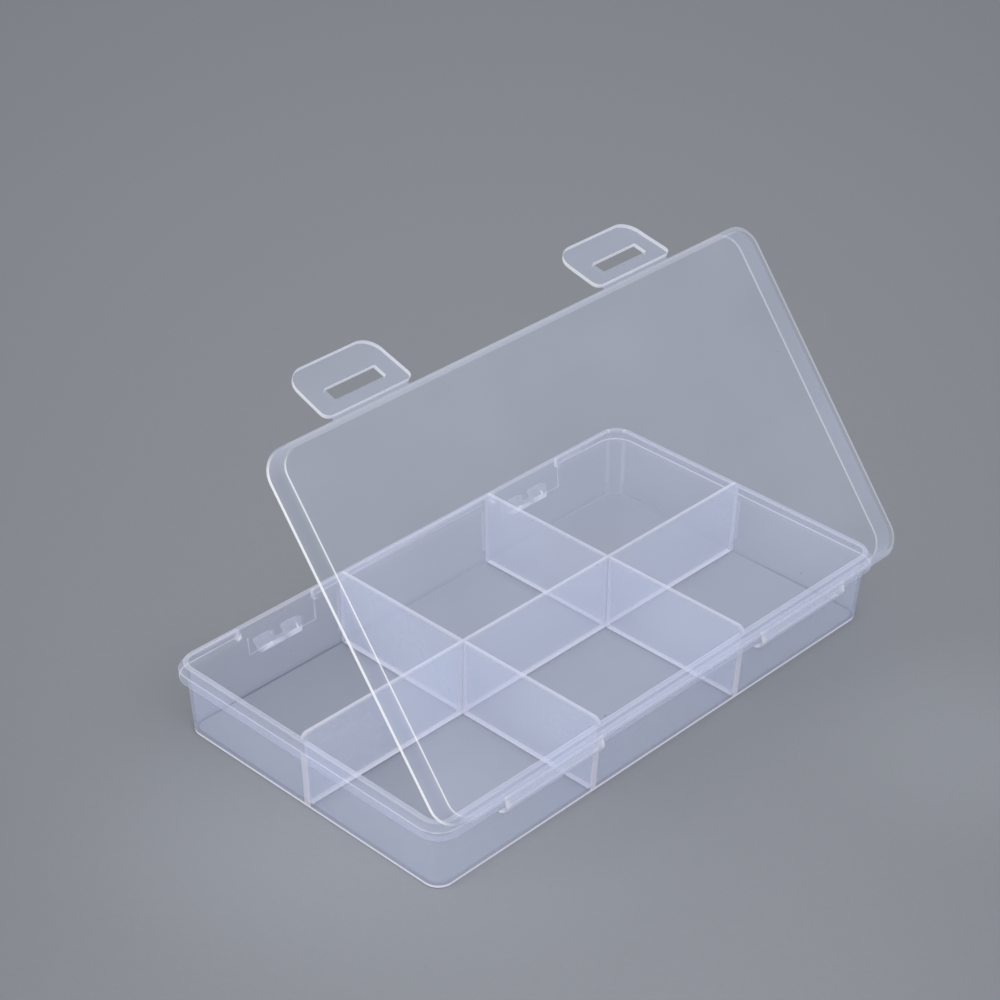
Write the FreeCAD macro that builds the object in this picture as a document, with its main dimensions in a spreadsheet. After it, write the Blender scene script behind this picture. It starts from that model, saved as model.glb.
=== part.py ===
import FreeCAD, Part
import os
import Sketcher

# Flat six-compartment storage case with a hinged lid and two snap latches.
# Frame: +Z up, X along the long side, latches towards -Y, hinge towards +Y,
# origin at the centre of the underside. Left is -X and right is +X.

# Driving dimensions in millimetres and degrees.
DIMENSIONS = {
    # Tray: drafted walls that run up into a lip, with a flange band below the lip.
    "case_length": 175.0,
    "case_width": 100.0,
    "case_corner": 7.0,
    "base_inset": 3.1,
    "base_corner": 4.0,
    "lip_height": 22.6,
    "wall_draft_angle": 2.8,
    "wall": 1.2,
    "floor_thickness": 1.2,
    "foot_round": 0.8,
    "flange_bottom": 17.4,
    "flange_top": 20.2,
    "flange_gap": 26.4,
    "gap_round": 1.2,
    # Dividers: one along the case and two across it, thicker at the foot.
    "divider_spacing": 57.0,
    "divider_height": 24.0,
    "divider_top": 1.0,
    "divider_base": 1.8,
    "divider_round": 1.2,
    # Lid: a plate with a skirt that stands on the flange when shut.
    "skirt_depth": 7.6,
    "skirt_wall": 1.1,
    "lid_plate": 1.2,
    "lid_round": 1.5,
    "lid_seat": 0.1,
    "lid_open_angle": 51.7,
    # Flexible straps that join the lid to the tray.
    "hinge_inset": 38.8,
    "hinge_width": 36.0,
    "hinge_reach": 2.0,
    "hinge_drop": 0.1,
    "hinge_thickness": 0.4,
    "hinge_bead": 0.4,
    "hinge_bead_gap": 0.2,
    # Latches: tabs on thin webs, each with a slot that snaps over a catch.
    "latch_inset": 38.8,
    "latch_shift": 1.4,
    "web_width": 25.6,
    "web_length": 1.0,
    "web_thickness": 0.4,
    "web_height": 0.5,
    "web_bead": 0.25,
    "web_bead_gap": 0.05,
    "tab_width": 29.7,
    "tab_length": 16.3,
    "tab_thickness": 1.2,
    "tab_corner": 4.5,
    "tab_root_corner": 1.5,
    "slot_length": 15.8,
    "slot_height": 3.6,
    "slot_start": 4.8,
    "left_bend_angle": 37.9,
    "right_bend_angle": 31.8,
    # Catches: two bumps joined by a lower bar on the latch wall.
    "catch_clearance": 0.3,
    "catch_hook": 0.4,
    "catch_bump": 4.2,
    "catch_nose": 1.3,
    "catch_bar_height": 1.5,
    "catch_bar_reach": 1.6,
}

doc = FreeCAD.newDocument("StorageCase")
sheet = doc.addObject("Spreadsheet::Sheet", "Sizes")
for row, (alias, number) in enumerate(DIMENSIONS.items(), start=1):
    sheet.set("A%d" % row, alias)
    sheet.set("B%d" % row, str(number))
    sheet.setAlias("B%d" % row, alias)
doc.recompute()

# Expressions that several pieces share.
DRAFT = "(Sizes.wall_draft_angle * 1 deg)"
BASE_LENGTH = "(Sizes.case_length - 2 * Sizes.base_inset)"
BASE_WIDTH = "(Sizes.case_width - 2 * Sizes.base_inset)"
HINGE_X = "(Sizes.case_length / 2 - Sizes.hinge_inset)"
LATCH_X = "(Sizes.case_length / 2 - Sizes.latch_inset)"
HINGE_Y = "(Sizes.case_width / 2 + Sizes.hinge_reach)"
HINGE_Z = "(Sizes.flange_top - Sizes.hinge_drop)"
SKIRT_EDGE = "(Sizes.lid_seat + Sizes.hinge_drop)"
LATCH_Y = "(%s + Sizes.case_width / 2 + Sizes.web_length / 2)" % HINGE_Y
LATCH_Z = "(%s + Sizes.web_height)" % SKIRT_EDGE
SHUT_LATCH_Z = "(%s + %s)" % (HINGE_Z, LATCH_Z)
CATCH_LENGTH = "(Sizes.slot_length - 2 * Sizes.catch_clearance)"
CATCH_TOP = "(%s - Sizes.slot_start - Sizes.catch_clearance)" % SHUT_LATCH_Z
CATCH_BOTTOM = "(%s - Sizes.slot_start - Sizes.slot_height + Sizes.catch_clearance)" % SHUT_LATCH_Z
CATCH_REACH = "(Sizes.case_width / 2 + Sizes.web_length / 2 + Sizes.catch_hook)"
CATCH_ROOT = "(%s / 2)" % BASE_WIDTH
LEAF_START = "(Sizes.hinge_bead + Sizes.hinge_bead_gap)"
LEAF_SIDE = "(Sizes.hinge_thickness / 2)"
DIAGONAL = "sqrt(2)"
# How far cutters and raw pads run past the faces that they cross.
OVERRUN = 1.0
# How far the tab's thin root runs into the tab, so that the two are one solid.
ROOT_LAP = 0.3


def value(expression):
    return float(sheet.evalExpression(expression))


# Sizes of the drafted tray walls at a height.
def outer_length(height):
    return "(%s + 2 * %s * tan(%s))" % (BASE_LENGTH, height, DRAFT)


def outer_width(height):
    return "(%s + 2 * %s * tan(%s))" % (BASE_WIDTH, height, DRAFT)


def inner_length(height):
    return "(%s - 2 * Sizes.wall)" % outer_length(height)


def inner_width(height):
    return "(%s - 2 * Sizes.wall)" % outer_width(height)


# Middle of a latch along the case: the pair stands a little off the centre.
def latch_x(side):
    return "(%d * %s + Sizes.latch_shift)" % (side, LATCH_X)


def new_body(label):
    body = doc.addObject("PartDesign::Body", label)
    body.Label = label
    return body


def add_sketch(body, name, role, offset=None, shift_y=None):
    sketch = body.newObject("Sketcher::SketchObject", name)
    plane = [f for f in body.Origin.OriginFeatures if f.Role == role][0]
    sketch.AttachmentSupport = [(plane, "")]
    sketch.MapMode = "FlatFace"
    if offset:
        sketch.setExpression("AttachmentOffset.Base.z", offset)
    if shift_y:
        sketch.setExpression("AttachmentOffset.Base.y", shift_y)
    return sketch


def constrain(sketch, expression, kind, *place):
    index = sketch.addConstraint(Sketcher.Constraint(kind, *place, value(expression)))
    sketch.setExpression("Constraints[%d]" % index, expression)


def rounded_rectangle(sketch, length, width, corner):
    half_x = value(length) / 2
    half_y = value(width) / 2
    radius = value(corner)
    start = sketch.GeometryCount
    sides = [
        ((-half_x + radius, -half_y), (half_x - radius, -half_y)),
        ((half_x, -half_y + radius), (half_x, half_y - radius)),
        ((half_x - radius, half_y), (-half_x + radius, half_y)),
        ((-half_x, half_y - radius), (-half_x, -half_y + radius)),
    ]
    for first, last in sides:
        sketch.addGeometry(Part.LineSegment(FreeCAD.Vector(*first), FreeCAD.Vector(*last)), False)
    quarter = FreeCAD.Units.Quantity("90 deg").getValueAs("rad").Value
    centres = [(1, -1), (1, 1), (-1, 1), (-1, -1)]
    for turn, (side_x, side_y) in enumerate(centres, start=-1):
        centre = FreeCAD.Vector(side_x * (half_x - radius), side_y * (half_y - radius))
        circle = Part.Circle(centre, FreeCAD.Vector(0, 0, 1), radius)
        sketch.addGeometry(Part.ArcOfCircle(circle, turn * quarter, (turn + 1) * quarter), False)
    for side in range(4):
        line = start + side
        arc = start + 4 + side
        following = start + (side + 1) % 4
        sketch.addConstraint(Sketcher.Constraint("Tangent", line, 2, arc, 1))
        sketch.addConstraint(Sketcher.Constraint("Tangent", arc, 2, following, 1))
        sketch.addConstraint(Sketcher.Constraint("Vertical" if side % 2 else "Horizontal", line))
        if side:
            sketch.addConstraint(Sketcher.Constraint("Equal", start + 4, arc))
    sketch.addConstraint(Sketcher.Constraint("Symmetric", start + 4, 3, start + 6, 3, -1, 1))
    constrain(sketch, length, "DistanceX", start + 3, 1, start + 1, 1)
    constrain(sketch, width, "DistanceY", start, 1, start + 2, 1)
    constrain(sketch, corner, "Radius", start + 4)


def polygon(sketch, corners):
    start = sketch.GeometryCount
    count = len(corners)
    points = [FreeCAD.Vector(value(x), value(y)) for x, y in corners]
    for i in range(count):
        sketch.addGeometry(Part.LineSegment(points[i], points[(i + 1) % count]), False)
    for i in range(count):
        sketch.addConstraint(Sketcher.Constraint("Coincident", start + i, 2, start + (i + 1) % count, 1))
    for i, (x, y) in enumerate(corners):
        constrain(sketch, x, "DistanceX", -1, 1, start + i, 1)
        constrain(sketch, y, "DistanceY", -1, 1, start + i, 1)


def box_corners(low_x, high_x, low_y, high_y):
    return [(low_x, low_y), (high_x, low_y), (high_x, high_y), (low_x, high_y)]


def add_pad(body, name, sketch, length, taper=None):
    pad = body.newObject("PartDesign::Pad", name)
    pad.Profile = sketch
    pad.setExpression("Length", length)
    if taper:
        pad.setExpression("TaperAngle", taper)
    doc.recompute()
    return pad


def add_pocket(body, name, sketch, length, reverse=False, taper=None):
    before = body.Shape.Volume
    pocket = body.newObject("PartDesign::Pocket", name)
    pocket.Profile = sketch
    pocket.setExpression("Length", length)
    pocket.Reversed = reverse
    if taper:
        pocket.setExpression("TaperAngle", taper)
    doc.recompute()
    if body.Shape.Volume >= before:
        raise RuntimeError("%s cuts nothing" % name)
    return pocket


def add_fillet(body, name, base, radius, chosen):
    names = ["Edge%d" % i for i, edge in enumerate(base.Shape.Edges, start=1) if chosen(edge)]
    fillet = body.newObject("PartDesign::Fillet", name)
    fillet.Base = (base, names)
    fillet.setExpression("Radius", radius)
    doc.recompute()
    return fillet


def combine(kind, label, base, tool):
    result = doc.addObject(kind, label)
    result.Label = label
    result.Base = base
    result.Tool = tool
    result.Refine = True
    doc.recompute()
    return result


def near(number, target, slack=1e-4):
    return abs(number - target) < slack


def upright(edge):
    box = edge.BoundBox
    return box.XLength < 1e-4 and box.YLength < 1e-4


def tray_block(label):
    """The outside of the tray as a full block."""
    body = new_body(label)
    base = add_sketch(body, label + "_base", "XY_Plane")
    rounded_rectangle(base, BASE_LENGTH, BASE_WIDTH, "Sizes.base_corner")
    block = add_pad(body, label + "_block", base, "Sizes.lip_height", DRAFT)
    return body, block


def make_tray():
    body, block = tray_block("tray_walls")
    add_fillet(body, "foot_edge", block, "Sizes.foot_round", lambda e: e.BoundBox.ZMax < 1e-4)
    floor_level = "Sizes.floor_thickness"
    cavity = add_sketch(body, "cavity_floor", "XY_Plane", floor_level)
    inner_corner = "(Sizes.base_corner - Sizes.wall / 2)"
    rounded_rectangle(cavity, inner_length(floor_level), inner_width(floor_level), inner_corner)
    cavity_depth = "Sizes.lip_height - Sizes.floor_thickness"
    add_pocket(body, "cavity", cavity, cavity_depth, reverse=True, taper=DRAFT)

    flange = new_body("flange_band")
    outline = add_sketch(flange, "flange_outline", "XY_Plane", "Sizes.flange_bottom")
    rounded_rectangle(outline, "Sizes.case_length", "Sizes.case_width", "Sizes.case_corner")
    # The band's inner edge runs inside the wall, so that the two become one.
    middle_length = outer_length("Sizes.flange_top") + " - Sizes.wall"
    middle_width = outer_width("Sizes.flange_top") + " - Sizes.wall"
    rounded_rectangle(outline, middle_length, middle_width, "Sizes.base_corner")
    thickness = "Sizes.flange_top - Sizes.flange_bottom"
    add_pad(flange, "flange_pad", outline, thickness)
    gaps = add_sketch(flange, "latch_gaps", "XY_Plane", "Sizes.flange_top")
    for side in (-1, 1):
        low = "%s - Sizes.flange_gap / 2" % latch_x(side)
        high = "%s + Sizes.flange_gap / 2" % latch_x(side)
        outer = "-Sizes.case_width / 2 - %g" % OVERRUN
        inner = "-%s / 2" % inner_width("Sizes.flange_bottom")
        polygon(gaps, box_corners(low, high, outer, inner))
    cut = add_pocket(flange, "latch_gap_cut", gaps, thickness)
    front = -value("Sizes.case_width / 2")
    half_gap = value("Sizes.flange_gap / 2")
    ends = [value(latch_x(side)) + end * half_gap for side in (-1, 1) for end in (-1, 1)]

    def gap_end(edge):
        box = edge.BoundBox
        return upright(edge) and near(box.YMin, front) and any(near(box.XMin, x) for x in ends)

    add_fillet(flange, "gap_ends", cut, "Sizes.gap_round", gap_end)
    return combine("Part::Fuse", "tray_shell", body, flange)


def taper_divider(body, label, plane, start, length, reverse):
    """Cut both sides back so that the divider thins from its foot to its top."""
    sketch = add_sketch(body, label + "_taper", plane, start)
    top = ("Sizes.divider_top / 2", "Sizes.divider_height")
    foot = ("Sizes.divider_base / 2", "Sizes.floor_thickness")
    clear = "(Sizes.divider_base / 2 + %g)" % OVERRUN
    for sign in ("", "-"):
        polygon(sketch, [
            (sign + top[0], top[1]),
            (sign + foot[0], foot[1]),
            (sign + clear, foot[1]),
            (sign + clear, top[1]),
        ])
    add_pocket(body, label + "_taper_cut", sketch, length, reverse)


def make_long_divider():
    body = new_body("long_divider")
    floor_level = "Sizes.floor_thickness"
    top_level = "Sizes.divider_height"
    foot_end = inner_length(floor_level) + " / 2"
    top_end = inner_length(top_level) + " / 2"
    side = add_sketch(body, "long_side", "XZ_Plane", "-Sizes.divider_base / 2")
    polygon(side, [
        ("-" + foot_end, floor_level),
        (foot_end, floor_level),
        (top_end, top_level),
        ("-" + top_end, top_level),
    ])
    panel = add_pad(body, "long_panel", side, "Sizes.divider_base")
    top = value(top_level)
    add_fillet(body, "long_ends", panel, "Sizes.divider_round",
               lambda e: near(e.BoundBox.ZMin, top) and e.BoundBox.XLength < 1e-4)
    taper_divider(body, "long", "YZ_Plane", "-" + top_end, inner_length(top_level), True)
    return body


def make_cross_divider(label, side, front):
    """Half of a cross divider, from the long divider to the front or rear wall."""
    body = new_body(label)
    floor_level = "Sizes.floor_thickness"
    top_level = "Sizes.divider_height"
    foot_end = inner_width(floor_level) + " / 2"
    top_end = inner_width(top_level) + " / 2"
    outline = add_sketch(body, label + "_side", "YZ_Plane", "-Sizes.divider_base / 2")
    polygon(outline, [
        ("Sizes.divider_base / 2", floor_level),
        (foot_end, floor_level),
        (top_end, top_level),
        ("Sizes.divider_top / 2", top_level),
    ])
    panel = add_pad(body, label + "_panel", outline, "Sizes.divider_base")
    top = value(top_level)
    wall_end = value(top_end)
    add_fillet(body, label + "_end", panel, "Sizes.divider_round",
               lambda e: near(e.BoundBox.ZMin, top) and near(e.BoundBox.YMin, wall_end))
    taper_divider(body, label, "XZ_Plane", None, top_end, False)
    turn = FreeCAD.Rotation(FreeCAD.Vector(0, 0, 1), 180 if front else 0)
    middle = FreeCAD.Vector(side * value("Sizes.divider_spacing / 2"), 0, 0)
    body.Placement = FreeCAD.Placement(middle, turn)
    return body


def make_catch(label, side):
    raw = new_body(label + "_raw")
    bar = add_sketch(raw, label + "_bar", "YZ_Plane", "-%s / 2" % CATCH_LENGTH)
    bar_reach = "(%s / 2 + Sizes.catch_bar_reach)" % outer_width(CATCH_BOTTOM)
    bar_top = CATCH_BOTTOM + " + Sizes.catch_bar_height"
    polygon(bar, box_corners("-" + bar_reach, "-" + CATCH_ROOT, CATCH_BOTTOM, bar_top))
    add_pad(raw, label + "_bar_pad", bar, CATCH_LENGTH)
    starts = {
        "_bump_a": "-%s / 2" % CATCH_LENGTH,
        "_bump_b": "%s / 2 - Sizes.catch_bump" % CATCH_LENGTH,
    }
    for name, offset in starts.items():
        bump = add_sketch(raw, label + name, "YZ_Plane", offset)
        nose = CATCH_BOTTOM + " + Sizes.catch_nose"
        polygon(bump, [
            ("-" + CATCH_ROOT, CATCH_BOTTOM),
            ("-" + CATCH_ROOT, CATCH_TOP),
            ("-%s / 2" % outer_width(CATCH_TOP), CATCH_TOP),
            ("-" + CATCH_REACH, nose),
            ("-" + CATCH_REACH, CATCH_BOTTOM),
        ])
        add_pad(raw, label + name + "_pad", bump, "Sizes.catch_bump")
    raw.Placement.Base.x = value(latch_x(side))
    block = tray_block(label + "_seat")[0]
    return combine("Part::Cut", label, raw, block)


def x_cylinder(name, radius, height, angle=360.0):
    cylinder = doc.addObject("Part::Cylinder", name)
    cylinder.setExpression("Radius", radius)
    cylinder.setExpression("Height", height)
    cylinder.Angle = angle
    return cylinder


def make_tray_leaf(label, side):
    """Quarter loop from the flange out and up to the bead on the hinge axis."""
    outer = x_cylinder(label + "_outer", "Sizes.hinge_reach + " + LEAF_SIDE, "Sizes.hinge_width", 90)
    inner = x_cylinder(label + "_inner", "Sizes.hinge_reach - " + LEAF_SIDE, "Sizes.hinge_width", 90)
    bead = x_cylinder(label + "_bead", "Sizes.hinge_bead", "Sizes.hinge_width")
    low_x = side * value(HINGE_X) - value("Sizes.hinge_width / 2")
    centre_y = value("Sizes.case_width / 2")
    axis_z = value(HINGE_Z)
    # The cylinder's own X turns to -Z and its axis to X, so the quarter runs from below to outboard.
    lie = FreeCAD.Rotation(FreeCAD.Vector(0, 1, 0), 90)
    for quarter in (outer, inner):
        quarter.Placement = FreeCAD.Placement(FreeCAD.Vector(low_x, centre_y, axis_z), lie)
    bead.Placement = FreeCAD.Placement(FreeCAD.Vector(low_x, value(HINGE_Y), axis_z), lie)
    doc.recompute()
    loop = combine("Part::Cut", label + "_loop", outer, inner)
    return combine("Part::Fuse", label, loop, bead)


# The lid's pieces are drawn shut, with the hinge axis as their origin, and then swung open.
def lid_placement():
    swing = FreeCAD.Rotation(FreeCAD.Vector(-1, 0, 0), value("Sizes.lid_open_angle"))
    return FreeCAD.Placement(FreeCAD.Vector(0, value(HINGE_Y), value(HINGE_Z)), swing)


def make_lid():
    body = new_body("lid_shell")
    outline = add_sketch(body, "lid_outline", "XY_Plane", SKIRT_EDGE, "-" + HINGE_Y)
    rounded_rectangle(outline, "Sizes.case_length", "Sizes.case_width", "Sizes.case_corner")
    block = add_pad(body, "lid_block", outline, "Sizes.skirt_depth")
    top = value(SKIRT_EDGE + " + Sizes.skirt_depth")
    add_fillet(body, "lid_edge", block, "Sizes.lid_round", lambda e: near(e.BoundBox.ZMin, top))
    dish = add_sketch(body, "lid_dish", "XY_Plane", SKIRT_EDGE, "-" + HINGE_Y)
    dish_length = "Sizes.case_length - 2 * Sizes.skirt_wall"
    dish_width = "Sizes.case_width - 2 * Sizes.skirt_wall"
    rounded_rectangle(dish, dish_length, dish_width, "Sizes.case_corner - Sizes.skirt_wall")
    add_pocket(body, "lid_hollow", dish, "Sizes.skirt_depth - Sizes.lid_plate", reverse=True)
    body.Placement = lid_placement()
    return body


def make_lid_leaf(label, side):
    """Straight leaf from the hinge axis up to the lid's skirt, at 45 degrees when shut."""
    body = new_body(label)
    low_x = "%d * %s - Sizes.hinge_width / 2" % (side, HINGE_X)
    sketch = add_sketch(body, label + "_profile", "YZ_Plane", low_x)
    near_y = "(%s - %s) / %s" % (LEAF_START, LEAF_SIDE, DIAGONAL)
    far_y = "(%s + %s) / %s" % (LEAF_START, LEAF_SIDE, DIAGONAL)
    drop = "%s * %s" % (LEAF_SIDE, DIAGONAL)
    polygon(sketch, [
        ("-" + near_y, far_y),
        ("-" + far_y, near_y),
        ("-Sizes.hinge_reach", "Sizes.hinge_reach - " + drop),
        ("-Sizes.hinge_reach", "Sizes.hinge_reach + " + drop),
    ])
    add_pad(body, label + "_pad", sketch, "Sizes.hinge_width")
    body.Placement = lid_placement()
    return body


def make_web(label, side):
    """Thin web from the lid's skirt to the bead that the tab turns about."""
    strip = doc.addObject("Part::Box", label + "_strip")
    strip.setExpression("Length", "Sizes.web_width")
    strip.setExpression("Width", "Sizes.web_length / 2")
    strip.setExpression("Height", "Sizes.web_thickness")
    bead = x_cylinder(label + "_bead", "Sizes.web_bead", "Sizes.web_width")
    low_x = value(latch_x(side) + " - Sizes.web_width / 2")
    latch_y = -value(LATCH_Y)
    latch_z = value(LATCH_Z)
    strip.Placement.Base = FreeCAD.Vector(low_x, latch_y, latch_z - value("Sizes.web_thickness / 2"))
    lie = FreeCAD.Rotation(FreeCAD.Vector(0, 1, 0), 90)
    bead.Placement = FreeCAD.Placement(FreeCAD.Vector(low_x, latch_y, latch_z), lie)
    doc.recompute()
    web = combine("Part::Fuse", label, strip, bead)
    web.Placement = lid_placement()
    return web


def make_tab(label, side, bend):
    """Latch tab, drawn level with the bead of its web as origin and its free end towards -Y."""
    body = new_body(label)
    inner_face = "-Sizes.web_thickness / 2"
    root = "Sizes.web_length / 2"
    half_width = "Sizes.tab_width / 2"
    plate = add_sketch(body, label + "_plate", "XY_Plane", inner_face)
    polygon(plate, box_corners("-" + half_width, half_width, "-(%s + Sizes.tab_length)" % root, "-" + root))
    pad = add_pad(body, label + "_pad", plate, "Sizes.tab_thickness")
    free_end = -value(root + " + Sizes.tab_length")
    root_end = -value(root)
    ends = add_fillet(body, label + "_free_corners", pad, "Sizes.tab_corner",
                      lambda e: upright(e) and near(e.BoundBox.YMin, free_end))
    add_fillet(body, label + "_root_corners", ends, "Sizes.tab_root_corner",
               lambda e: upright(e) and near(e.BoundBox.YMin, root_end))
    slot = add_sketch(body, label + "_slot", "XY_Plane", inner_face)
    half_slot = "Sizes.slot_length / 2"
    polygon(slot, box_corners("-" + half_slot, half_slot, "-(Sizes.slot_start + Sizes.slot_height)",
                              "-Sizes.slot_start"))
    add_pocket(body, label + "_slot_cut", slot, "Sizes.tab_thickness", reverse=True)
    lip = add_sketch(body, label + "_lip", "XY_Plane", inner_face)
    half_web = "Sizes.web_width / 2"
    polygon(lip, box_corners("-" + half_web, half_web, "-(%s + %g)" % (root, ROOT_LAP),
                             "-(Sizes.web_bead + Sizes.web_bead_gap)"))
    add_pad(body, label + "_lip_pad", lip, "Sizes.web_thickness")
    axis = FreeCAD.Vector(value(latch_x(side)), -value(LATCH_Y), value(LATCH_Z))
    tilt = FreeCAD.Rotation(FreeCAD.Vector(-1, 0, 0), value("Sizes.lid_open_angle") - value("Sizes." + bend))
    body.Placement = FreeCAD.Placement(lid_placement().multVec(axis), tilt)
    return body


nodes = [make_tray(), make_long_divider()]
for side_name, side in (("left", -1), ("right", 1)):
    nodes.append(make_cross_divider(side_name + "_front_divider", side, True))
    nodes.append(make_cross_divider(side_name + "_rear_divider", side, False))
    nodes.append(make_catch(side_name + "_catch", side))
    nodes.append(make_tray_leaf(side_name + "_hinge_tray_leaf", side))
nodes.append(make_lid())
for side_name, side in (("left", -1), ("right", 1)):
    nodes.append(make_lid_leaf(side_name + "_hinge_lid_leaf", side))
    nodes.append(make_web(side_name + "_latch_web", side))
    nodes.append(make_tab(side_name + "_latch_tab", side, side_name + "_bend_angle"))
doc.recompute()

for item in doc.Objects:
    if "Invalid" in item.State or "Error" in item.State:
        raise RuntimeError("%s failed: %s" % (item.Label, item.State))
for node in nodes:
    if node.Shape.isNull() or not node.Shape.isValid():
        raise RuntimeError("%s has no valid shape" % node.Label)

os.makedirs("parts", exist_ok=True)
for node in nodes:
    node.Shape.exportStep("parts/%s.step" % node.Label)
    print("%-24s solids %d  volume %.1f mm3" % (node.Label, len(node.Shape.Solids), node.Shape.Volume))

hinge_point = FreeCAD.Vector(0, value(HINGE_Y), value(HINGE_Z))
latch_point = lid_placement().multVec(FreeCAD.Vector(0, -value(LATCH_Y), value(LATCH_Z)))
print("hinge axis at", tuple(round(c, 4) for c in hinge_point))
print("latch axis at", tuple(round(c, 4) for c in latch_point))
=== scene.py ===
import bpy
import bmesh
from math import cos, pi, radians, sin, tan
from mathutils import Matrix, Vector


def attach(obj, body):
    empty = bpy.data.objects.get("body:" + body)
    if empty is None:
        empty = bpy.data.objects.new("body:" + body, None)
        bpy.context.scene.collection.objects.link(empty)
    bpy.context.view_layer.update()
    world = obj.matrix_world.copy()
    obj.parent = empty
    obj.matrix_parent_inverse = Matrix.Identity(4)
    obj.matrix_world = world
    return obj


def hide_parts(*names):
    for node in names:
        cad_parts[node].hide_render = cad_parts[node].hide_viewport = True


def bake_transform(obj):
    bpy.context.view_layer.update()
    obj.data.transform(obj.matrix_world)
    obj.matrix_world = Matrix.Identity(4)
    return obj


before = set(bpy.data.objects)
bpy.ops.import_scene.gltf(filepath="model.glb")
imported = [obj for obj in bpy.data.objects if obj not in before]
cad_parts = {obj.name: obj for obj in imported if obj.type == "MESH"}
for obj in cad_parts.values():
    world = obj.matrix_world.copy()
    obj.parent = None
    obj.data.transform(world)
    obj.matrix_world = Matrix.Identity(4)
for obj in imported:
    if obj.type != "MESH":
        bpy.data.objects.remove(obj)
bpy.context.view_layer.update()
scene = bpy.context.scene
print("frame loaded with", len(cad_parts), "solids")

# sizes in the dictionaries are millimetres and degrees; finishPiece scales to metres


def addNode(tree, kind, inputs={}, **settings):
    node = tree.nodes.new(kind)
    for name, value in settings.items():
        setattr(node, name, value)
    for place, value in inputs.items():
        if isinstance(value, bpy.types.NodeSocket):
            tree.links.new(value, node.inputs[place])
        else:
            node.inputs[place].default_value = value
    return node


def sums(tree, operation, first, second, clamp=False):
    node = addNode(tree, "ShaderNodeMath", {0: first, 1: second}, operation=operation, use_clamp=clamp)
    return node.outputs[0]


def spread(tree, value, low, high, newLow, newHigh):
    places = {"Value": value, "From Min": low, "From Max": high, "To Min": newLow, "To Max": newHigh}
    return addNode(tree, "ShaderNodeMapRange", places).outputs["Result"]


def mixColours(tree, share, first, second):
    node = addNode(tree, "ShaderNodeMix", {0: share, 6: first, 7: second}, data_type="RGBA",
                   clamp_factor=False)
    return node.outputs[2]


# milky haze of moulded polypropylene: soft clouds, flow streaks, hairlines and specks, with painted highlight
# lines and painted shade mixed in where the rim asks
hazeLook = dict(clouds=24.0, cloudRange=(0.86, 1.14), streaks=9.0, streakRange=(0.9, 1.1),
                streakStretch=(0.35, 4.0, 4.0), roughRange=(0.8, 1.25), relief=0.3,
                hairlines=70.0, hairWidth=0.007, hairHaze=0.01, hairRough=0.2,
                patches=31.0, patchFrom=0.56, patchFull=0.66,
                specks=210.0, speckSize=0.055, speckChance=0.93, speckHaze=0.5,
                speckTone=(0.05, 0.05, 0.06, 1.0),
                glowGain=2.5, darkGain=-3.3, darkTone=(0.11, 0.12, 0.17, 1.0))
noiseSpan = (0.3, 0.7)  # most of a noise texture lies in here


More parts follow.
